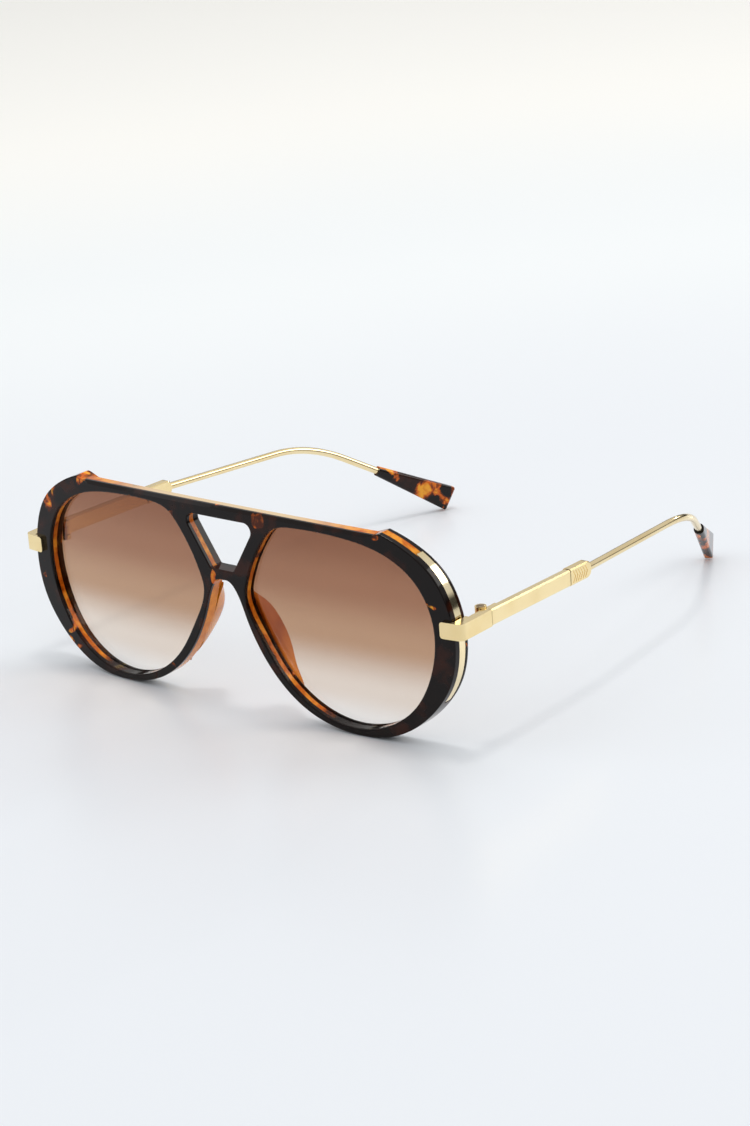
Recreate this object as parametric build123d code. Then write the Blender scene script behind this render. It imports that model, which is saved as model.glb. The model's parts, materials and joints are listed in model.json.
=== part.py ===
from build123d import *
import math
import os

# Aviator sunglasses, open, standing on the lower rims and the two temple tips.
# Millimetres. +Z is up, +Y runs back along the temples, +X is the wearer's left.
# The shapes are drawn with y = 0 at the front of the bridge and are moved back
# by half the overall depth when they are written, so the origin ends up at the
# middle of the base of the whole object.

# ---------------------------------------------------------------- overall
DEPTH = 153.32            # bridge front to the rearmost corner of the tips
DATUM = 25.8             # height of the lens datum line above the table
WRAP_R = 588.0           # face-form radius of the front's front surface
REAR_R = 455.0           # radius of the front's rear surface
FRONT_T = 4.4            # thickness of the front at the bridge

# ---------------------------------------------------------------- front outline
# All outline heights are measured from the lens datum line.
BAR_TOP_MID = 29.0       # top of the brow bar at the centre
BAR_TOP_END = 28.2       # top of the brow bar where the wings start
WING_X = 48.2            # where the brow bar steps up to a wing
WING_PEAK = (50.6, 29.0)
RIM_OUTLINE = [          # bridge underside, nose side, bottom, outer side, wing
    (0, 9.1), (2.3, 8.75), (3.9, 7.0), (6.8, 0), (11.7, -9.8), (18.0, -17.3),
    (25.6, -22.5), (34.1, -25.2), (41.5, -25.8), (49.5, -24.7), (56.6, -21.4),
    (63.4, -15.5), (68.2, -8.2), (70.3, 2.0), (69.2, 11.2), (65.0, 20.0),
    (58.2, 25.6), WING_PEAK,
]
LENS_OPENING = [         # closed curve, clockwise from the inner end of the nose side
    (7.3, 8.3), (9.2, 13.4), (13.2, 20.5), (17.8, 25.4), (24.5, 26.7), (38.6, 26.3),
    (50.4, 23.9), (59.6, 17.8), (64.3, 7.0), (63.0, -5.4), (57.4, -15.8),
    (48.7, -22.0), (38.0, -23.9), (27.6, -21.3), (18.0, -14.2), (10.8, -3.6),
]
KEYHOLE_TOP = 25.75      # inverted trapezoid between the brow bar and the bridge
KEYHOLE_BASE = 11.9
KEYHOLE_TOP_HALF = 12.4
KEYHOLE_BASE_HALF = 3.8
KEYHOLE_R_TOP = 2.2
KEYHOLE_R_BASE = 0.7
BAR_BEVEL_FRONT = 0.8    # long bevels along the top of the brow bar
BAR_BEVEL_REAR = 1.2
FRONT_EDGE_R = 0.35      # rounded edges of the front
REAR_EDGE_R = 0.5
KEYHOLE_EDGE_R = 0.3

# ---------------------------------------------------------------- lenses
LENS_DEPTH = 2.6         # lens front surface behind the front's front surface
LENS_T = 1.3
LENS_LAP = 0.7           # lens edge held in the rim groove
FIT = 0.03               # clearance of seated pieces

# ---------------------------------------------------------------- side trim
TRIM_CENTRE = (38.6, 0)  # the groove's ends lie on rays from this point
TRIM_LOW_DEG = -27.7
TRIM_HIGH_DEG = 49.0
TRIM_RUN_FROM = 0.50      # stretch of the rim's outline, as fractions, that holds it
TRIM_RUN_TO = 0.97
TRIM_FRONT = 1.85        # groove walls, behind the front surface
TRIM_BACK = 4.35
TRIM_GROOVE = 1.7        # groove depth into the rim
TRIM_SUNK = 0.10         # trim surface below the rim's edge

# ---------------------------------------------------------------- end piece
PLATE_X = 67.0           # inner edge of the plate on the front face
OUTER_X = 73.4           # outer face of end piece and temple at the hinge
LEG_T = 2.2              # thickness of the side leg and of the temple bar
PLATE_T = 0.95
PLATE_CORNER_R = 0.8     # rounded corners of the plate on the rim
LEG_LOW = 4.6            # lower and upper edge, from the lens datum line
LEG_HIGH = 8.9
BEND_R = 1.7             # outer radius of the end piece's bend
PAD_X = 70.32            # inner face where the leg lies along the rim
PAD_END = 9.2            # the thick part of the leg ends behind the rim
SPLIT_Y = 15.7           # joint line between end piece and temple
ANCHOR_X = 68.1          # two pins hold the plate in the rim
ANCHOR_Z = (5.65, 7.85)
ANCHOR_R = 0.45
ANCHOR_LEN = 1.9

# ---------------------------------------------------------------- hinge
PIN_X = 70.0             # hinge axis, parallel to Z, on the joint line
BARREL_R = 1.5
BARREL_LOW = 4.3
BARREL_HIGH = 9.3
KNUCKLE_LOW = 5.65       # middle knuckle between these heights
KNUCKLE_HIGH = 7.9
KNUCKLE_GAP = 0.08       # end play above and below the middle knuckle
RELIEF = 0.12            # radial room around a neighbour's knuckle
LEAF_T = 0.65
LEAF_LEN = 4.8
LEAF_INSET = 0.35        # leaf edges inside the leg's edges
SCREW_R = 0.6
SCREW_HEAD_R = 1.05
SCREW_HEAD_H = 0.45
SCREW_RUN = 0.04         # radial running clearance on the screw
SCREW_PROUD = 0.12
SLOT_W = 0.3
SLOT_DEPTH = 0.22
SLOT_TURN = 35.0
SPLIT_GAP = 0.06         # half of the gap at the joint line

# ---------------------------------------------------------------- temple
BAR_END = 49.2           # rear end of the flat bar
SEAM = 0.25              # open seam between bar and collar
COLLAR_END = 58.7
COLLAR_T = 2.5
COLLAR_H = 4.5
BAR_SLOPE = 1.6          # degrees down towards the ear
BAR_TOE = 0.9            # degrees in towards the head
BAR_BEVEL = 0.35
WIRE_R = 1.0
CORE_R = 0.6             # reduced core inside collar and bar
CORE_IN_BAR = 6.0
WIRE_IN_COLLAR = 0.7     # full-size wire seated in collar and tip
WIRE_IN_TIP = 0.6
COLLAR_END_R = 1.9
CHEVRONS = 6             # plain pattern on the collar
CHEVRON_PITCH = 1.05
CHEVRON_W = 0.28
CHEVRON_DEPTH = 0.12
CHEVRON_DEG = 32.0
BEND_POINT = (66.3, 112.5, 2.7)      # where the two straight runs of wire meet
WIRE_BEND_R = 42.0
TIP_TOE = 27.5           # degrees in towards the head
TIP_DROP = 30.0          # degrees down
TIP_START = 24.6         # bend point to the mouth of the tip
TIP_LEN = 26.2
TIP_H0 = 2.9             # height at the mouth and at the end
TIP_H1 = 7.4
TIP_T0 = 2.8             # thickness at the mouth and at the end
TIP_T1 = 2.5
CORE_IN_TIP = 19.0
TIP_ROUND_MOUTH = 1.2
TIP_ROUND_END = 0.5
TIP_END_BEVEL = 0.45

# ---------------------------------------------------------------- nose pads
# Crest line of the pad, (x, depth behind the bridge front, height).
PAD_STATIONS = [
    (5.6, 4.9, 6.5), (6.1, 6.1, 5.0), (7.6, 8.3, 2.4), (9.4, 10.0, -1.6),
    (11.6, 10.3, -5.9), (14.4, 9.0, -10.8), (17.3, 7.1, -14.6), (19.9, 5.3, -17.7),
]
PAD_TO_NOSE = 1.8        # foot of the pad, towards the nose and towards the lens
PAD_TO_LENS = 0.5
PAD_CREST_HALF = 0.8     # half width of the rounded crest


def raised(points):
    """Outline points with heights counted from the table."""
    return [(x, z + DATUM) for x, z in points]


def front_y(x, depth=0.0):
    """Depth coordinate of a surface parallel to the front's front surface."""
    radius = WRAP_R - depth
    return WRAP_R - math.sqrt(radius**2 - x**2)


def rear_y(x):
    """Depth coordinate of the rear surface of the front."""
    return FRONT_T + REAR_R - math.sqrt(REAR_R**2 - x**2)


def slab(near, far):
    """Upright curved slab between two depth functions of x."""
    reach = 80.0
    front_arc = ThreePointArc((-reach, near(reach)), (0, near(0)), (reach, near(reach)))
    back_arc = ThreePointArc((reach, far(reach)), (0, far(0)), (-reach, far(reach)))
    sides = [Line(front_arc @ 1, back_arc @ 0), Line(back_arc @ 1, front_arc @ 0)]
    face = make_face([front_arc, back_arc, *sides])
    return Pos(0, 0, -10) * extrude(face, 80)


def layer(depth_a, depth_b):
    """Slab between two surfaces parallel to the front surface."""
    return slab(lambda x: front_y(x, depth_a), lambda x: front_y(x, depth_b))


def upright(face, y0=-10.0, y1=30.0):
    """Face drawn in (x, z), extruded along Y between two depths."""
    return Pos(0, y0, 0) * extrude(Plane.XZ * face, -(y1 - y0))


def both(shape):
    """Shape with its mirror image."""
    return shape + mirror(shape, about=Plane.YZ)


# ---------------------------------------------------------------- front
def outline_half():
    points = raised(RIM_OUTLINE)
    rim = Spline(*points)
    step = Line(rim @ 1, (WING_X, BAR_TOP_END + DATUM))
    top_end = (-WING_X, BAR_TOP_END + DATUM)
    top = ThreePointArc(step @ 1, (0, BAR_TOP_MID + DATUM), top_end).trim(0, 0.5)
    centre = Line(top @ 1, rim @ 0)
    return make_face([rim, step, top, centre])


def outline():
    half = outline_half()
    return half + mirror(half, about=Plane.YZ)


def beside(curve, distance, start=0.0, end=1.0, steps=40):
    """Points at a distance to the right of a curve, from one end to the other."""
    points = []
    for i in range(steps + 1):
        place = start + (end - start) * i / steps
        along = (curve % place).normalized()
        points.append(curve @ place + Vector(along.Y, -along.X) * distance)
    return points


def opening(grow=0.0):
    """Lens opening, or the same shape a little larger all round."""
    edge = Spline(*raised(LENS_OPENING), periodic=True)
    if grow:
        edge = Spline(*beside(edge, -grow)[:-1], periodic=True)
    return make_face(edge)


def keyhole():
    corners = [
        (-KEYHOLE_TOP_HALF, KEYHOLE_TOP), (KEYHOLE_TOP_HALF, KEYHOLE_TOP),
        (KEYHOLE_BASE_HALF, KEYHOLE_BASE), (-KEYHOLE_BASE_HALF, KEYHOLE_BASE),
    ]
    radii = [KEYHOLE_R_TOP, KEYHOLE_R_TOP, KEYHOLE_R_BASE, KEYHOLE_R_BASE]
    return make_face(FilletPolyline(*raised(corners), radius=radii, close=True))


def trim_wedge():
    """Sector of the side view between the two ends of the trim groove."""
    reach = 60.0
    cx, cz = raised([TRIM_CENTRE])[0]
    low = math.radians(TRIM_LOW_DEG)
    high = math.radians(TRIM_HIGH_DEG)
    corners = [
        (cx, cz),
        (cx + reach * math.cos(low), cz + reach * math.sin(low)),
        (cx + reach, cz + reach),
        (cx + reach * math.cos(high), cz + reach * math.sin(high)),
    ]
    return make_face(Polyline(*corners, close=True))


def trim_ring(outer_inset, inner_inset, depth_a, depth_b):
    """Part of the rim's outer edge, between two insets and two depths."""
    rim = Spline(*raised(RIM_OUTLINE))
    outer = Spline(*beside(rim, -outer_inset, TRIM_RUN_FROM, TRIM_RUN_TO))
    inner = Spline(*beside(rim, -inner_inset, TRIM_RUN_FROM, TRIM_RUN_TO))
    ends = [Line(outer @ 0, inner @ 0), Line(outer @ 1, inner @ 1)]
    ring = make_face([outer, inner, *ends])
    return upright(ring & trim_wedge()) & layer(depth_a, depth_b)


def is_front(edge):
    middle = edge @ 0.5
    return abs(middle.Y - front_y(middle.X)) < 0.05


def is_rear(edge):
    middle = edge @ 0.5
    return abs(middle.Y - rear_y(middle.X)) < 0.05


def is_bar(edge):
    middle = edge @ 0.5
    return middle.Z > BAR_TOP_END + DATUM and abs(middle.X) < WING_X - 1


def is_keyhole(edge):
    middle = edge @ 0.5
    high = KEYHOLE_BASE + DATUM - 0.5 < middle.Z < KEYHOLE_TOP + DATUM + 0.2
    return high and abs(middle.X) < KEYHOLE_TOP_HALF


def edges_of(body, *tests):
    """Edges longer than the wing step that pass every test."""
    return [e for e in body.edges() if all(test(e) for test in tests)]


def front_blank():
    """Wrapped slab with the rim's outline, its long edges bevelled or rounded."""
    body = upright(outline()) & slab(front_y, rear_y)
    body = chamfer(edges_of(body, is_front, is_bar), BAR_BEVEL_FRONT)
    body = chamfer(edges_of(body, is_rear, is_bar), BAR_BEVEL_REAR)
    long_rim = lambda e: e.length > 50 and not is_bar(e)
    body = fillet(edges_of(body, is_front, long_rim), FRONT_EDGE_R)
    return fillet(edges_of(body, is_rear, long_rim), REAR_EDGE_R)


def front_frame():
    body = front_blank() - upright(keyhole()) - both(upright(opening()))
    body = fillet(edges_of(body, is_front, is_keyhole), KEYHOLE_EDGE_R)
    body = fillet(edges_of(body, is_front, lambda e: e.is_closed), FRONT_EDGE_R)
    body = fillet(edges_of(body, is_rear, lambda e: e.is_closed), FRONT_EDGE_R)
    seat = upright(opening(LENS_LAP + FIT))
    seat &= layer(LENS_DEPTH - FIT, LENS_DEPTH + LENS_T + FIT)
    body -= both(seat)
    body -= both(trim_ring(-1.0, TRIM_GROOVE, TRIM_FRONT, TRIM_BACK))
    for z in ANCHOR_Z:
        body -= both(anchor_pin(z, ANCHOR_R + FIT, ANCHOR_LEN + FIT))
    return body


def lens():
    edge = upright(opening(LENS_LAP))
    return edge & layer(LENS_DEPTH, LENS_DEPTH + LENS_T)


def side_trim():
    strip = trim_ring(TRIM_SUNK, TRIM_GROOVE - FIT, TRIM_FRONT + FIT, TRIM_BACK - FIT)
    return strip


def pad_section(x, y, z):
    """Level cut through a nose pad: foot on the rim, rounded crest behind."""
    nose = (x - PAD_TO_NOSE, rear_y(x - PAD_TO_NOSE) + FIT / 2)
    side = (x + PAD_TO_LENS, rear_y(x + PAD_TO_LENS) + FIT / 2)
    rise = y - rear_y(x)
    shoulder = rear_y(x) + 0.72 * rise
    crest = Spline(
        side, (x + 0.75 * PAD_CREST_HALF, shoulder), (x, y),
        (x - 1.15 * PAD_CREST_HALF, shoulder), nose,
    )
    face = make_face([Line(nose, side), crest])
    return Pos(0, 0, z + DATUM) * face


def nose_pad():
    return loft([pad_section(*station) for station in PAD_STATIONS])


# ---------------------------------------------------------------- end piece and hinge
def prism(points, low, high):
    """Solid with a plan outline between two heights above the lens datum line."""
    face = make_face(Polyline(*points, close=True))
    return Pos(0, 0, low + DATUM) * extrude(face, high - low)


def post(radius, low, high):
    """Upright cylinder on the hinge axis."""
    return Pos(PIN_X, SPLIT_Y, low + DATUM) * extrude(Circle(radius), high - low)


def end_piece():
    inner_x = OUTER_X - LEG_T
    face_in = front_y(PLATE_X) - FIT
    face_out = front_y(PAD_X) - FIT
    slope = (face_out - face_in) / (PAD_X - PLATE_X)
    corner_y = face_in - PLATE_T + slope * (OUTER_X - PLATE_X)
    plan = [
        (PLATE_X, face_in - PLATE_T), (OUTER_X, corner_y),
        (OUTER_X, SPLIT_Y - SPLIT_GAP), (inner_x, SPLIT_Y - SPLIT_GAP),
        (inner_x, PAD_END), (PAD_X, PAD_END), (PAD_X, face_out), (PLATE_X, face_in),
    ]
    body = prism(plan, LEG_LOW, LEG_HIGH)
    at = lambda e, x, y: abs((e @ 0.5).X - x) < 0.01 and abs((e @ 0.5).Y - y) < 0.01
    body = fillet([e for e in body.edges() if at(e, OUTER_X, corner_y)], BEND_R)
    plate_front = [
        e for e in body.edges()
        if abs((e @ 0.5).X - PLATE_X) < 0.01 and abs(e.length - PLATE_T) < 0.01
    ]
    body = fillet(plate_front, PLATE_CORNER_R)
    body -= post(BARREL_R + FIT, LEG_LOW - 1, LEG_HIGH + 1)
    return body - post(BARREL_R + RELIEF, KNUCKLE_LOW - KNUCKLE_GAP, KNUCKLE_HIGH + KNUCKLE_GAP)


def anchor_pin(z, radius, length):
    start = (ANCHOR_X, front_y(ANCHOR_X) + FIT, z + DATUM)
    return Plane(origin=start, z_dir=(0, 1, 0)) * extrude(Circle(radius), length)


def anchor_pins():
    return [anchor_pin(z, ANCHOR_R, ANCHOR_LEN) for z in ANCHOR_Z]


def leaf_block(y_near, y_far):
    """Flat hinge leaf on the inner face of the leg or the bar."""
    inner_x = OUTER_X - LEG_T
    plan = [
        (inner_x - LEAF_T, y_near), (inner_x, y_near),
        (inner_x, y_far), (inner_x - LEAF_T, y_far),
    ]
    return prism(plan, LEG_LOW + LEAF_INSET, LEG_HIGH - LEAF_INSET)


def web(y_near, y_far, low, high):
    """Bridge of metal from a knuckle to its leaf."""
    inner_x = OUTER_X - LEG_T
    plan = [(PIN_X, y_near), (inner_x, y_near), (inner_x, y_far), (PIN_X, y_far)]
    return prism(plan, low, high)


def hinge_front_leaf():
    """Upper and lower knuckle with their leaf, soldered to the end piece."""
    y_end = SPLIT_Y - SPLIT_GAP
    body = leaf_block(y_end - LEAF_LEN, y_end)
    for low, high in ((BARREL_LOW, KNUCKLE_LOW), (KNUCKLE_HIGH, BARREL_HIGH)):
        body += post(BARREL_R, low, high)
        inner_low = max(low, LEG_LOW + LEAF_INSET)
        inner_high = min(high, LEG_HIGH - LEAF_INSET)
        body += web(y_end - BARREL_R, y_end, inner_low, inner_high)
    body -= post(BARREL_R + RELIEF, KNUCKLE_LOW - KNUCKLE_GAP, KNUCKLE_HIGH + KNUCKLE_GAP)
    body -= post(SCREW_R + FIT, BARREL_LOW, BARREL_HIGH)
    return body - post(SCREW_HEAD_R + FIT, BARREL_HIGH - SCREW_HEAD_H, BARREL_HIGH)


def clear_front_knuckles(body):
    """Cut room for the upper and the lower knuckle."""
    body -= post(BARREL_R + RELIEF, BARREL_LOW - 1, KNUCKLE_LOW + KNUCKLE_GAP)
    return body - post(BARREL_R + RELIEF, KNUCKLE_HIGH - KNUCKLE_GAP, BARREL_HIGH + 1)


def hinge_screw():
    head_low = BARREL_HIGH - SCREW_HEAD_H + FIT
    head_high = BARREL_HIGH + SCREW_PROUD
    body = post(SCREW_R, BARREL_LOW, head_low) + post(SCREW_HEAD_R, head_low, head_high)
    slot = Box(3 * SCREW_HEAD_R, SLOT_W, 2 * SLOT_DEPTH)
    return body - Pos(PIN_X, SPLIT_Y, head_high + DATUM) * Rot(0, 0, SLOT_TURN) * slot


# ---------------------------------------------------------------- temple
def heading(toe, drop):
    """Unit vector that runs back, turned in by toe and down by drop (degrees)."""
    toe_rad = math.radians(toe)
    drop_rad = math.radians(drop)
    level = math.cos(drop_rad)
    return Vector(-math.sin(toe_rad) * level, math.cos(toe_rad) * level, -math.sin(drop_rad))


def run_plane(origin, direction):
    """Plane across a run: local x points up, local y points away from the head."""
    up = Vector(0, 0, 1) - direction * direction.Z
    return Plane(origin=origin, x_dir=up, z_dir=direction)


BAR_DIR = heading(BAR_TOE, BAR_SLOPE)
BAR_START = Vector(OUTER_X - LEG_T / 2, SPLIT_Y, (LEG_LOW + LEG_HIGH) / 2 + DATUM)
WIRE_ROOT = BAR_START + BAR_DIR * ((COLLAR_END - SPLIT_Y) / BAR_DIR.Y)
BEND = Vector(BEND_POINT[0], BEND_POINT[1], BEND_POINT[2] + DATUM)
WIRE_DIR = (BEND - WIRE_ROOT).normalized()
TIP_DIR = heading(TIP_TOE, TIP_DROP)
TIP_MOUTH = BEND + TIP_DIR * TIP_START


def along_bar(y):
    """Point on the bar's centre line at a given depth."""
    return BAR_START + BAR_DIR * ((y - SPLIT_Y) / BAR_DIR.Y)


def temple_bar():
    height = LEG_HIGH - LEG_LOW
    length = BAR_END - SPLIT_Y + 1
    section = Rectangle(height, LEG_T)
    body = run_plane(along_bar(SPLIT_Y - 1), BAR_DIR) * extrude(section, length)
    long_edges = [e for e in body.edges() if e.length > 10]
    body = chamfer(long_edges, BAR_BEVEL)
    ahead = Pos(OUTER_X, SPLIT_Y + SPLIT_GAP - 5, LEG_LOW + DATUM) * Box(20, 10, 40)
    body -= ahead
    body -= post(BARREL_R + FIT, LEG_LOW - 1, LEG_HIGH + 1)
    body = clear_front_knuckles(body)
    return body - core(along_bar(BAR_END - CORE_IN_BAR), BAR_DIR, CORE_IN_BAR + 1, FIT)


def hinge_temple_leaf():
    """Middle knuckle with its leaf, soldered inside the bar."""
    y_start = SPLIT_Y + SPLIT_GAP
    body = clear_front_knuckles(leaf_block(y_start, y_start + LEAF_LEN))
    low = KNUCKLE_LOW + KNUCKLE_GAP
    high = KNUCKLE_HIGH - KNUCKLE_GAP
    body += post(BARREL_R, low, high)
    body += web(y_start, y_start + BARREL_R, low, high)
    body -= temple_bar()
    return body - post(SCREW_R + SCREW_RUN, BARREL_LOW - 1, BARREL_HIGH + 1)


def core(origin, direction, length, extra=0.0):
    """Thin core of the temple wire."""
    return run_plane(origin, direction) * extrude(Circle(CORE_R + extra), length)


def temple_collar():
    """Ferrule with a rounded end and a plain chevron pattern on its outer face."""
    start = along_bar(BAR_END + SEAM)
    length = (WIRE_ROOT - start).length
    plane = run_plane(start, BAR_DIR)
    shift = (COLLAR_T - LEG_T) / 2
    body = Pos(0, -shift, 0) * extrude(Rectangle(COLLAR_H, COLLAR_T), length)
    across = [e for e in body.edges().filter_by(Axis.Y) if (e @ 0.5).Z > length - 0.01]
    body = fillet(across, COLLAR_END_R)
    body = chamfer([e for e in body.edges().filter_by(Axis.Z)], BAR_BEVEL)
    for i in range(CHEVRONS):
        z = length * 0.16 + i * CHEVRON_PITCH
        for side in (1, -1):
            groove = Box(COLLAR_H * 0.42, 2 * CHEVRON_DEPTH, CHEVRON_W)
            spot = Pos(side * COLLAR_H * 0.17, COLLAR_T / 2 - shift, z)
            body -= spot * Rot(0, side * CHEVRON_DEG, 0) * groove
    body = plane * body
    body -= core(along_bar(BAR_END), BAR_DIR, length + 2, FIT)
    return body - wire_run(FIT)


def wire_path():
    """Centre line of the full-size wire, from inside the collar to the tip."""
    start = WIRE_ROOT - WIRE_DIR * WIRE_IN_COLLAR
    return FilletPolyline(start, BEND, TIP_MOUTH + TIP_DIR * WIRE_IN_TIP, radius=WIRE_BEND_R)


def wire_run(extra=0.0):
    path = wire_path()
    section = run_plane(path @ 0, WIRE_DIR) * Circle(WIRE_R + extra)
    return sweep(section, path=path)


def temple_wire():
    body = wire_run()
    body += core(along_bar(BAR_END - CORE_IN_BAR + FIT), BAR_DIR, COLLAR_END - BAR_END + CORE_IN_BAR - 0.3)
    return body + core(TIP_MOUTH, TIP_DIR, CORE_IN_TIP)


def tip_section(fraction):
    height = TIP_H0 + (TIP_H1 - TIP_H0) * fraction
    thick = TIP_T0 + (TIP_T1 - TIP_T0) * fraction
    corner = TIP_ROUND_MOUTH + (TIP_ROUND_END - TIP_ROUND_MOUTH) * fraction
    plane = run_plane(TIP_MOUTH + TIP_DIR * (TIP_LEN * fraction), TIP_DIR)
    return plane * RectangleRounded(height, thick, corner)


def temple_tip():
    body = loft([tip_section(f) for f in (0, 1)], ruled=True)
    end = body.faces().sort_by(lambda f: (f.center() - TIP_MOUTH).dot(TIP_DIR))[-1]
    body = chamfer(end.edges(), TIP_END_BEVEL)
    body -= core(TIP_MOUTH - TIP_DIR, TIP_DIR, CORE_IN_TIP + 1 + FIT, FIT)
    return body - wire_run(FIT)


# ---------------------------------------------------------------- files
SINGLE = {"front_frame": front_frame}
PAIRED = {
    "lens": lens,
    "side_trim": side_trim,
    "nose_pad": nose_pad,
    "end_piece": end_piece,
    "end_piece_pins": anchor_pins,
    "hinge_front_leaf": hinge_front_leaf,
    "hinge_screw": hinge_screw,
    "hinge_temple_leaf": hinge_temple_leaf,
    "temple_bar": temple_bar,
    "temple_collar": temple_collar,
    "temple_wire": temple_wire,
    "temple_tip": temple_tip,
}


def solids_of(made):
    pieces = made if isinstance(made, list) else [made]
    return [solid for piece in pieces for solid in piece.solids()]


def write(name, solids):
    group = Compound([Pos(0, -DEPTH / 2, 0) * solid for solid in solids])
    group.label = name
    export_step(group, f"parts/{name}.step")


def main():
    os.makedirs("parts", exist_ok=True)
    for name, make in SINGLE.items():
        write(name, solids_of(make()))
    for name, make in PAIRED.items():
        left = solids_of(make())
        write(f"{name}_left", left)
        write(f"{name}_right", [mirror(solid, about=Plane.YZ) for solid in left])


if __name__ == "__main__":
    main()
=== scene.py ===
"""Aviator sunglasses: looks, floor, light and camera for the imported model."""
import json
import math

import bpy
from mathutils import Matrix, Vector


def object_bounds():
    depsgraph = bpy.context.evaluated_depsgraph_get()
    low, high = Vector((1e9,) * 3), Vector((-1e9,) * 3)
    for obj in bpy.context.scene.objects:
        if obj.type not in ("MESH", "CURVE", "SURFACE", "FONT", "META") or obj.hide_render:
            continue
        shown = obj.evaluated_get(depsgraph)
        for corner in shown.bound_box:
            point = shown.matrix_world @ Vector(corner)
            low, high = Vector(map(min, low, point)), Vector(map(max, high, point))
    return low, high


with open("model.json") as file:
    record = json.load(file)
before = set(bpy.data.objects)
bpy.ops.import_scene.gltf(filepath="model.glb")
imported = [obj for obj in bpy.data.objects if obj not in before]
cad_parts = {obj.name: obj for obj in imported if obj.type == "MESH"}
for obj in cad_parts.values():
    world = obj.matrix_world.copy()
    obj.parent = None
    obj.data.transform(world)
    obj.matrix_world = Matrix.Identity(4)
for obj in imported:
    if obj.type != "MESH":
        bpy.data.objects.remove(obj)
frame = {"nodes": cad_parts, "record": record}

CAD_LOW, CAD_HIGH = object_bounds()

# Sizes of the object, in metres
FRONT_Y = CAD_LOW.y              # front of the bridge
WRAP_R = 0.588                   # the front's curve, seen from above
LENS_X = 0.0360                  # middle of each lens
LENS_Z = 0.0258
LENS_TOP = 0.0505
LENS_BOTTOM = 0.0012
MM = 1000                        # millimetres in a metre

# Soft edges on the front, in metres: where a mask is 0 and where it is 1
KEYHOLE_SIDE = (0.0150, 0.0140)
KEYHOLE_BASE = (0.0365, 0.0372)
KEYHOLE_TOP = (0.0530, 0.0522)
NOSE_SIDE = (0.026, 0.024)
# The next three place the painted highlight: pale cream on the upward-facing top of the brow bar,
# standing in for a reflection of the overhead light
TOP_HIGHLIGHT_SIDE = (0.0495, 0.0475)
TOP_HIGHLIGHT_BASE = (0.0525, 0.0531)
WING_BASE = (0.0462, 0.0475)
LOBE_SIDE = (0.040, 0.066)
TOP_HIGHLIGHT_DEPTH = (1.35, 1.60)       # in millimetres behind the front face
FACING = (-0.001, 0.001)         # wall turned away from its lens, and towards it

# Bands on the front, in metres: low, high and softness
NOSE_HEIGHT = (0.005, 0.0345, 0.0012)
WING_WIDTH = (0.0400, 0.0600, 0.0010)
LAYER_DEPTH = (1.15, 2.50, 0.12)     # depths are in millimetres behind the front face
NOSE_DEPTH = (1.05, 4.2, 0.12)
WING_DEPTH = (1.5, 3.5, 0.15)

# Table, in metres
TABLE_HALF = 6.0
TABLE_GAP = 0.0001
FALLOFF_DIRECTION = (-0.645, 0.764)           # level direction in which the table's painted light falloff turns brighter and warm

# Studio: softboxes with place, size, watts and colour, and the world's grey by height
LIGHTS_AIM = Vector((0, 0, 0.02))
SOFTBOXES = (
    ("overhead", (-0.2, 0.35, 1.5), (1.6, 1.2), 6.4, (1, 1, 1)),
    ("top_key", (0.0, 0.05, 1.5), (0.22, 0.22), 3.4, (1.0, 0.97, 0.93)),
    ("back_low", (-0.08, 1.9, 0.62), (0.14, 0.14), 1.7, (1.0, 0.97, 0.93)),
    ("back_right", (0.9, 1.0, 0.8), (0.7, 0.5), 3.5, (1.0, 0.97, 0.92)),
    ("front_left", (-1.2, -0.9, 0.8), (0.7, 1.0), 1.6, (0.95, 0.97, 1.0)),
)
WORLD_GREYS = ((0.0, 0.05), (0.12, 0.06), (0.20, 0.90), (0.75, 1.0))
WORLD_STRENGTH = 0.735

# Camera, in metres
CAMERA_AT = Vector((0.53422, -0.65068, 0.31605))
CAMERA_RIGHT = Vector((0.77869, 0.62314, -0.07311))
CAMERA_UP = Vector((-0.15598, 0.30513, 0.93945))
CAMERA_LENS = 105.08             # on a 36 mm sensor
CAMERA_SHIFT = (0.0030, -0.0043)


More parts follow.
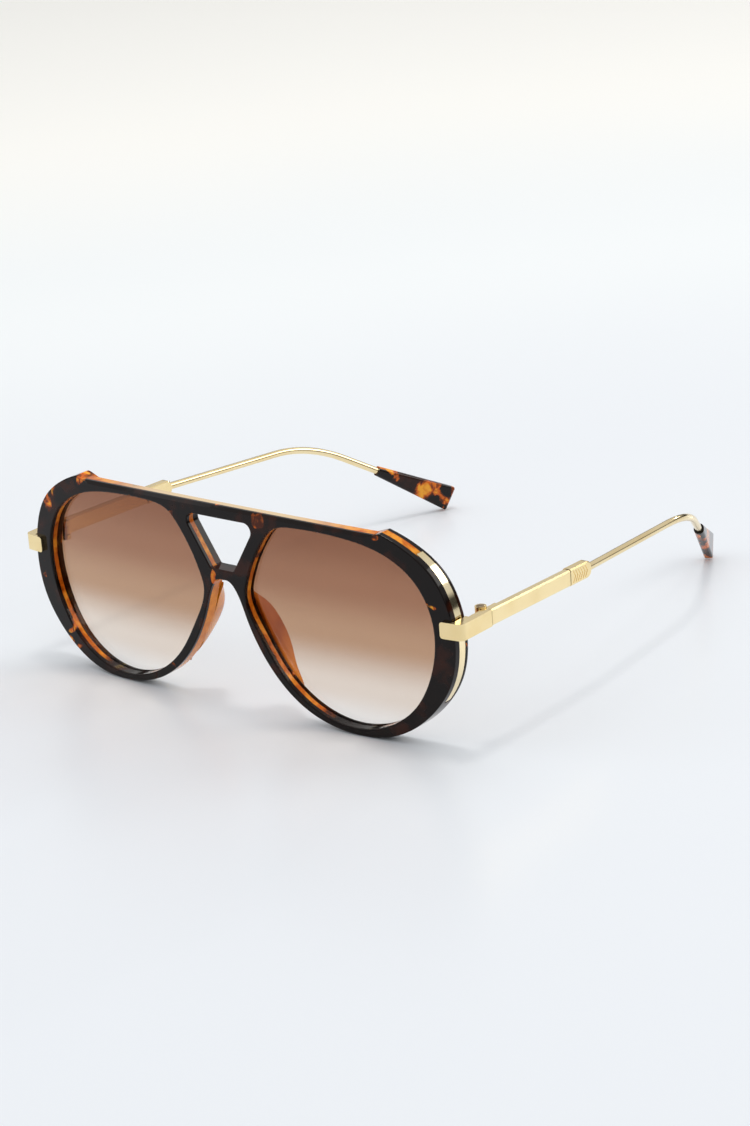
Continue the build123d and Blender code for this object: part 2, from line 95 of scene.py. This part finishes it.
class Graph:
    """A material's nodes, made and linked in one call each."""

    def __init__(self, name):
        self.material = bpy.data.materials.new(name)
        self.material.use_nodes = True
        self.tree = self.material.node_tree
        self.shader = self.tree.nodes["Principled BSDF"]
        self.out = self.tree.nodes["Material Output"]
        self.object = self.add("ShaderNodeTexCoord").outputs["Object"]

    def add(self, kind, **settings):
        made = self.tree.nodes.new(kind)
        for key, value in settings.items():
            setattr(made, key, value)
        return made

    def put(self, socket, value):
        if isinstance(value, bpy.types.NodeSocket):
            self.tree.links.new(value, socket)
        elif isinstance(value, tuple) and len(value) == 3 and socket.type == "RGBA":
            socket.default_value = (*value, 1.0)
        else:
            socket.default_value = value

    def set(self, **values):
        for key, value in values.items():
            self.put(self.shader.inputs[key.replace("_", " ")], value)

    def math(self, operation, a, b=0.0, c=0.0):
        made = self.add("ShaderNodeMath", operation=operation)
        for socket, value in zip(made.inputs, (a, b, c)):
            self.put(socket, value)
        return made.outputs[0]

    def step(self, value, low, high):
        """0 at low, 1 at high, smooth between."""
        made = self.add("ShaderNodeMapRange", interpolation_type="SMOOTHSTEP")
        self.put(made.inputs["Value"], value)
        self.put(made.inputs["From Min"], low)
        self.put(made.inputs["From Max"], high)
        return made.outputs["Result"]

    def band(self, value, low, high, soft):
        """1 between low and high, 0 outside."""
        up = self.step(value, low - soft, low + soft)
        down = self.step(value, high + soft, high - soft)
        return self.math("MULTIPLY", up, down)

    def both(self, *masks):
        made = masks[0]
        for mask in masks[1:]:
            made = self.math("MULTIPLY", made, mask)
        return made

    def any(self, *masks):
        made = masks[0]
        for mask in masks[1:]:
            made = self.math("MAXIMUM", made, mask)
        return made

    def mix(self, factor, a, b):
        made = self.add("ShaderNodeMix", data_type="RGBA")
        self.put(made.inputs["Factor"], factor)
        self.put(made.inputs["A"], a)
        self.put(made.inputs["B"], b)
        return made.outputs["Result"]

    def ramp(self, factor, *stops):
        made = self.add("ShaderNodeValToRGB")
        made.color_ramp.interpolation = "EASE"
        for k, (at, colour) in enumerate(stops):
            if k < 2:
                stop = made.color_ramp.elements[k]
                stop.position = at
            else:
                stop = made.color_ramp.elements.new(at)
            stop.color = (*colour, 1.0)
        self.put(made.inputs["Fac"], factor)
        return made.outputs["Color"]

    def split(self, vector):
        made = self.add("ShaderNodeSeparateXYZ")
        self.put(made.inputs[0], vector)
        return made.outputs

    def noise(self, scale, detail=3.0, rough=0.5, distort=0.0, move=(0, 0, 0), stretch=(1, 1, 1)):
        """A noise whose scale counts features per millimetre."""
        mapping = self.add("ShaderNodeMapping")
        self.put(mapping.inputs["Vector"], self.object)
        mapping.inputs["Location"].default_value = move
        mapping.inputs["Scale"].default_value = [MM * k for k in stretch]
        made = self.add("ShaderNodeTexNoise")
        self.put(made.inputs["Vector"], mapping.outputs[0])
        self.put(made.inputs["Scale"], scale)
        self.put(made.inputs["Detail"], detail)
        self.put(made.inputs["Roughness"], rough)
        self.put(made.inputs["Distortion"], distort)
        return made.outputs["Fac"]

    def bump(self, height, distance):
        made = self.add("ShaderNodeBump")
        self.put(made.inputs["Height"], height)
        self.put(made.inputs["Distance"], distance)
        self.put(made.inputs["Strength"], 1.0)
        self.put(self.shader.inputs["Normal"], made.outputs["Normal"])


DARK = (0.0058, 0.0030, 0.0024)
MURKY = (0.040, 0.0085, 0.0030)
RED_BROWN = (0.075, 0.013, 0.003)
BROWN = (0.26, 0.052, 0.004)
ORANGE = (0.66, 0.125, 0.007)
YELLOW = (0.94, 0.40, 0.028)
# Pale cream painted on the top of the brow bar as a highlight from the overhead light
HIGHLIGHT_CREAM = (0.80, 0.60, 0.36)
AMBER_STOPS = (
    (0.30, (0.10, 0.018, 0.003)),
    (0.44, (0.58, 0.125, 0.006)),
    (0.66, (0.88, 0.33, 0.025)),
)
PLAIN_AMBER = ((0.62, 0.17, 0.012), (0.82, 0.28, 0.022))


def blots(g, field, level):
    """Tortoise colours: dark ground with murky clouds, and patches where the field is over the level."""
    clouds = g.step(g.noise(0.13, detail=2.0, move=(7, 3, 5)), 0.50, 0.66)
    ground = g.mix(g.math("MULTIPLY", clouds, 0.75), DARK, MURKY)
    tone = g.noise(0.26, detail=3.0, rough=0.55, distort=0.8, move=(2, 6, 9))
    deeper = g.math("MULTIPLY_ADD", g.math("SUBTRACT", field, level), 0.55, tone)
    patch = g.ramp(
        deeper,
        (0.44, RED_BROWN),
        (0.50, BROWN),
        (0.56, ORANGE),
        (0.68, YELLOW),
    )
    return g.mix(g.step(field, level - 0.014, level + 0.012), ground, patch)


def scattered(g, move, size):
    """A field with blots of about 1 / size millimetres."""
    blot = g.noise(size, detail=1.8, rough=0.5, distort=0.35, move=move)
    fleck = g.noise(size * 6.0, detail=2.0, rough=0.6, move=move)
    return g.math("MULTIPLY_ADD", g.math("SUBTRACT", fleck, 0.5), 0.06, blot)


def polish(g, low=0.035, high=0.11):
    """Clear polish with faint smears and very shallow ripples."""
    smear = g.noise(0.11, detail=5.0, rough=0.65, stretch=(1.0, 1.0, 0.4))
    g.set(Roughness=g.math("MULTIPLY_ADD", smear, high - low, low))
    ripple = g.noise(0.35, detail=1.0)
    g.bump(ripple, 0.000012)


def towards_lens(g, x, z, nx, nz):
    """Over 0 on a wall that faces the middle of its lens."""
    to_x = g.math("SUBTRACT", g.math("MULTIPLY", g.math("SIGN", x), LENS_X), x)
    to_z = g.math("SUBTRACT", LENS_Z, z)
    return g.math("ADD", g.math("MULTIPLY", nx, to_x), g.math("MULTIPLY", nz, to_z))


def front_depth(g, x, y):
    """Millimetres behind the curved front face."""
    wrap = g.math("DIVIDE", g.math("MULTIPLY", x, x), 2 * WRAP_R)
    return g.math("MULTIPLY", g.math("SUBTRACT", y, g.math("ADD", wrap, FRONT_Y)), MM)


def front_masks(g, x, y, z):
    """Where the amber layer, the wing, the nose walls and the painted highlight on the top of the bar
    show.
    """
    across = g.math("ABSOLUTE", x)
    depth = front_depth(g, x, y)
    nx, ny, nz = g.split(g.add("ShaderNodeTexCoord").outputs["Normal"])
    wall = g.step(g.math("ABSOLUTE", ny), 0.75, 0.45)
    towards = towards_lens(g, x, z, nx, nz)
    keyhole = g.both(g.step(across, *KEYHOLE_SIDE), g.step(z, *KEYHOLE_BASE), g.step(z, *KEYHOLE_TOP))
    inner = g.both(wall, g.any(g.step(towards, *FACING), keyhole))
    waver = g.noise(0.16, detail=2.0, move=(3, 1, 8))
    shaken = g.math("MULTIPLY_ADD", g.math("SUBTRACT", waver, 0.5), 0.5, depth)
    upright = g.step(g.math("ABSOLUTE", nz), 0.97, 0.90)
    layer = g.both(inner, g.band(shaken, *LAYER_DEPTH), upright)
    wing = g.both(g.band(x, *WING_WIDTH), g.step(z, *WING_BASE), g.band(depth, *WING_DEPTH), wall)
    nose_wall = g.both(
        wall,
        g.step(across, *NOSE_SIDE),
        g.band(z, *NOSE_HEIGHT),
        g.band(depth, *NOSE_DEPTH),
        g.step(towards, *reversed(FACING)),
    )
    # Painted highlight: the upward-facing top of the brow bar, between the wings and behind the front
    # bevel
    bar_top_highlight = g.both(
        g.step(nz, 0.60, 0.80),
        g.step(across, *TOP_HIGHLIGHT_SIDE),
        g.step(z, *TOP_HIGHLIGHT_BASE),
        g.step(depth, *TOP_HIGHLIGHT_DEPTH),
    )
    return layer, wing, nose_wall, bar_top_highlight


def front_ground(g, x):
    """Tortoise ground of the front, with more patches towards its outer lobes."""
    loose = g.math("SUBTRACT", scattered(g, (11.0, 4.0, 6.0), 0.11), 0.155)
    lobes = g.step(g.math("ABSOLUTE", x), *LOBE_SIDE)
    return blots(g, g.math("MULTIPLY_ADD", lobes, 0.045, loose), 0.50)


def front_acetate():
    """The front: laminated acetate with an amber layer showing in its inner walls."""
    g = Graph("tortoise_front")
    x, y, z = g.split(g.object)
    layer, wing, nose_wall, bar_top_highlight = front_masks(g, x, y, z)
    clouds = g.noise(0.22, detail=3.0, rough=0.6, move=(5, 2, 1))
    amber = g.ramp(clouds, *AMBER_STOPS)
    plain = g.mix(g.step(clouds, 0.3, 0.7), *PLAIN_AMBER)
    # Painted highlight colour: cream across the middle of the bar top, fading to the amber layer towards
    # the wings
    painted_highlight_and_amber = g.mix(g.step(g.math("ABSOLUTE", x), 0.020, 0.046), HIGHLIGHT_CREAM, amber)
    colour = g.mix(g.math("MULTIPLY", layer, 0.95), front_ground(g, x), amber)
    colour = g.mix(g.math("MULTIPLY", wing, 0.95), colour, amber)
    colour = g.mix(g.math("MULTIPLY", nose_wall, 0.97), colour, plain)
    # Lays the painted highlight onto the top of the bar
    colour = g.mix(g.math("MULTIPLY", bar_top_highlight, 0.9), colour, painted_highlight_and_amber)
    g.set(Base_Color=colour, IOR=1.46, Specular_IOR_Level=0.22)
    polish(g)
    return g.material


def tip_acetate():
    g = Graph("tortoise_tips")
    field = scattered(g, (2.0, 9.0, 3.0), 0.13)
    g.set(Base_Color=blots(g, field, 0.535), IOR=1.46, Specular_IOR_Level=0.32)
    polish(g)
    return g.material


def pad_acetate():
    g = Graph("amber_pads")
    clouds = g.noise(0.10, detail=2.0, rough=0.5, move=(1, 7, 2))
    colour = g.ramp(
        clouds,
        (0.30, (0.60, 0.17, 0.012)),
        (0.50, (0.80, 0.27, 0.022)),
        (0.70, (0.90, 0.36, 0.040)),
    )
    g.set(Base_Color=colour, IOR=1.46, Transmission_Weight=0.22, Specular_IOR_Level=0.2)
    polish(g, 0.06, 0.16)
    return g.material


def gold(name, colour, low, high, brushed):
    """Pale gold plating: slight tone drift, polish marks and fine scratches."""
    g = Graph(name)
    drift = g.noise(0.09, detail=3.0, rough=0.6)
    dull = tuple(k * m for k, m in zip(colour, (0.93, 0.89, 0.80)))
    g.set(Base_Color=g.mix(g.step(drift, 0.35, 0.70), colour, dull), Metallic=1.0)
    grain = g.noise(5.0, detail=3.0, rough=0.65, stretch=(1.0, 0.05, 1.0))
    smear = g.noise(0.25, detail=4.0, rough=0.6)
    blend = g.math("ADD", g.math("MULTIPLY", grain, 0.6), g.math("MULTIPLY", smear, 0.4))
    g.set(Roughness=g.math("MULTIPLY_ADD", blend, high - low, low))
    g.bump(grain, 0.0000025 * brushed)
    return g.material


def lens_glass():
    """Brown gradient tint, dark at the top and nearly clear at the bottom."""
    g = Graph("gradient_lens")
    x, y, z = g.split(g.object)
    height = g.add("ShaderNodeMapRange")
    g.put(height.inputs["Value"], z)
    g.put(height.inputs["From Min"], LENS_BOTTOM)
    g.put(height.inputs["From Max"], LENS_TOP)
    blotch = g.math("MULTIPLY", g.math("SUBTRACT", g.noise(0.02, detail=1.0), 0.5), 0.02)
    tint = g.ramp(
        g.math("ADD", height.outputs["Result"], blotch),
        (0.02, (1.0, 0.98, 0.95)),
        (0.20, (0.90, 0.79, 0.69)),
        (0.48, (0.53, 0.315, 0.190)),
        (0.76, (0.360, 0.165, 0.090)),
        (1.00, (0.275, 0.108, 0.053)),
    )
    smear = g.noise(0.05, detail=4.0, rough=0.6)
    g.set(
        Base_Color=tint,
        IOR=1.40,
        Transmission_Weight=1.0,
        Roughness=g.math("MULTIPLY", smear, 0.02),
    )
    clear = g.add("ShaderNodeBsdfTransparent")
    g.put(clear.inputs["Color"], tint)
    shadow = g.add("ShaderNodeLightPath").outputs["Is Shadow Ray"]
    chosen = g.add("ShaderNodeMixShader")
    g.put(chosen.inputs[0], shadow)
    g.put(chosen.inputs[1], g.shader.outputs[0])
    g.put(chosen.inputs[2], clear.outputs[0])
    g.put(g.out.inputs["Surface"], chosen.outputs[0])
    return g.material


def screw_metal():
    g = Graph("hinge_screw_metal")
    grain = g.noise(3.0, detail=4.0, rough=0.7)
    tone = g.mix(g.step(grain, 0.35, 0.7), (0.52, 0.40, 0.24), (0.30, 0.21, 0.12))
    g.set(Base_Color=tone, Metallic=1.0, Roughness=g.math("MULTIPLY_ADD", grain, 0.25, 0.22))
    g.bump(grain, 0.000006)
    return g.material


def falloff_painted_floor():
    """Pale, slightly glossy table that turns from cool to warm towards the back: a painted light
    falloff, darker and bluer towards the front and brighter towards the back.
    """
    g = Graph("table")
    x, y, z = g.split(g.object)
    falloff_distance = g.math("ADD", g.math("MULTIPLY", x, FALLOFF_DIRECTION[0]), g.math("MULTIPLY", y, FALLOFF_DIRECTION[1]))
    mist = g.add("ShaderNodeTexNoise")
    g.put(mist.inputs["Vector"], g.object)
    g.put(mist.inputs["Scale"], 1.6)
    waver = g.math("MULTIPLY", g.math("SUBTRACT", mist.outputs["Fac"], 0.5), 0.25)
    # Painted light falloff: bluish grey near the front, warm white towards the back
    colour = g.ramp(
        g.math("ADD", g.step(falloff_distance, -0.35, 1.15), waver),
        (0.20, (0.780, 0.815, 0.860)),
        (0.50, (0.875, 0.910, 0.925)),
        (0.80, (0.990, 0.985, 0.945)),
    )
    g.set(Base_Color=colour, IOR=1.4, Roughness=0.30)
    return g.material


def dress():
    """Gives every CAD node the material of its slot."""
    made = {
        "tortoise_acetate": front_acetate(),
        "tip_acetate": tip_acetate(),
        "amber_acetate": pad_acetate(),
        "lens_tint": lens_glass(),
        "gold_plate": gold("gold_plate", (0.94, 0.765, 0.43), 0.12, 0.27, 1.0),
        "gold_wire": gold("gold_wire", (0.92, 0.755, 0.45), 0.07, 0.17, 0.6),
        "gold_trim": gold("gold_trim", (0.94, 0.81, 0.54), 0.05, 0.14, 0.4),
        "screw_metal": screw_metal(),
    }
    slots = {entry["node"]: entry["material_slot"] for entry in frame["record"]["subparts"]}
    for name, obj in frame["nodes"].items():
        obj.data.materials.clear()
        obj.data.materials.append(made[slots[name]])


def floor():
    mesh = bpy.data.meshes.new("table_top")
    corners = [(TABLE_HALF * i, TABLE_HALF * j, 0) for i, j in ((-1, -1), (1, -1), (1, 1), (-1, 1))]
    mesh.from_pydata(corners, [], [(0, 1, 2, 3)])
    obj = bpy.data.objects.new("table_top", mesh)
    obj.location.z = CAD_LOW.z - TABLE_GAP
    mesh.materials.append(falloff_painted_floor())
    bpy.context.scene.collection.objects.link(obj)


def softbox(name, at, size, watts, colour):
    data = bpy.data.lights.new(name, "AREA")
    data.shape = "RECTANGLE"
    data.size, data.size_y = size
    data.energy = watts
    data.color = colour
    obj = bpy.data.objects.new(name, data)
    obj.location = at
    obj.rotation_euler = (LIGHTS_AIM - Vector(at)).to_track_quat("-Z", "Y").to_euler()
    bpy.context.scene.collection.objects.link(obj)


def lights():
    world = bpy.data.worlds.new("studio")
    bpy.context.scene.world = world
    world.use_nodes = True
    tree = world.node_tree
    shade = tree.nodes["Background"]
    coord = tree.nodes.new("ShaderNodeTexCoord")
    split = tree.nodes.new("ShaderNodeSeparateXYZ")
    ramp = tree.nodes.new("ShaderNodeValToRGB")
    tree.links.new(coord.outputs["Generated"], split.inputs[0])
    tree.links.new(split.outputs["Z"], ramp.inputs["Fac"])
    tree.links.new(ramp.outputs["Color"], shade.inputs["Color"])
    for k, (at, grey) in enumerate(WORLD_GREYS):
        found = ramp.color_ramp.elements[k] if k < 2 else ramp.color_ramp.elements.new(at)
        found.position = at
        found.color = (grey, grey, grey, 1)
    shade.inputs["Strength"].default_value = WORLD_STRENGTH
    for row in SOFTBOXES:
        softbox(*row)


def camera():
    data = bpy.data.cameras.new("camera")
    data.sensor_width = 36
    data.lens = CAMERA_LENS
    data.shift_x, data.shift_y = CAMERA_SHIFT
    data.clip_start, data.clip_end = 0.02, 30
    obj = bpy.data.objects.new("camera", data)
    back = CAMERA_RIGHT.cross(CAMERA_UP)
    turn = Matrix((CAMERA_RIGHT, CAMERA_UP, back)).transposed()
    obj.matrix_world = Matrix.Translation(CAMERA_AT) @ turn.to_4x4()
    bpy.context.scene.collection.objects.link(obj)
    bpy.context.scene.camera = obj


dress()
floor()
lights()
camera()
bpy.context.scene.view_settings.view_transform = "Standard"
